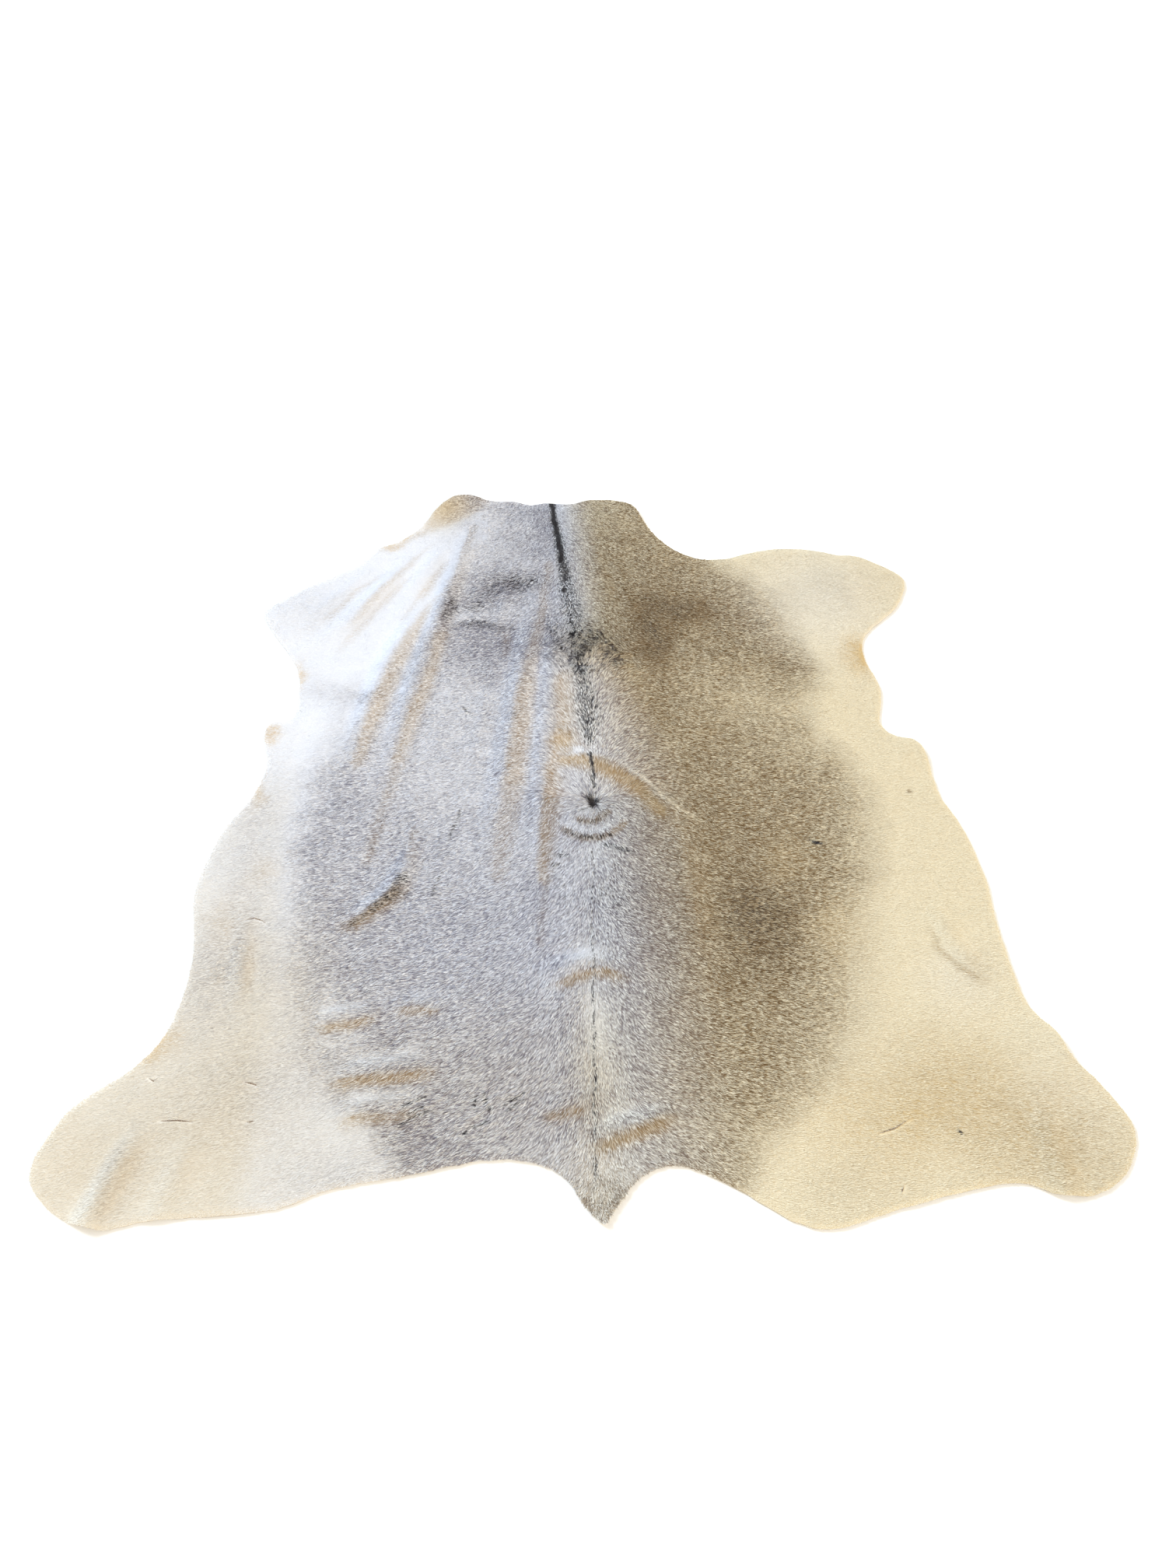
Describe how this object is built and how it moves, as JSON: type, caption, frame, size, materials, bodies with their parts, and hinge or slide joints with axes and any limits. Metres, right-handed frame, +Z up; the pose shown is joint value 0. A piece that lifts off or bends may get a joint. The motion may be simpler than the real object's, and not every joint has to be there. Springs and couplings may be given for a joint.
{
  "type": "cowhide rug",
  "caption": "Whole cowhide laid hair side up as a floor rug, with the cut outline of neck, legs and tail, low ripples, creases and one curled neck corner.",
  "frame": {"origin": "middle of the hide's bounding box, on the floor it lies on", "axes": "+Z up out of the hair side, +Y along the spine towards the neck, +X towards the legs on the picture's right"},
  "size_m": [1.9978, 2.143, 0.0301],
  "materials": {
    "coat": "short natural hair on leather, matt to slightly silky"
  },
  "bodies": {
    "root": {"hide": "coat"}
  },
  "joints": []
}
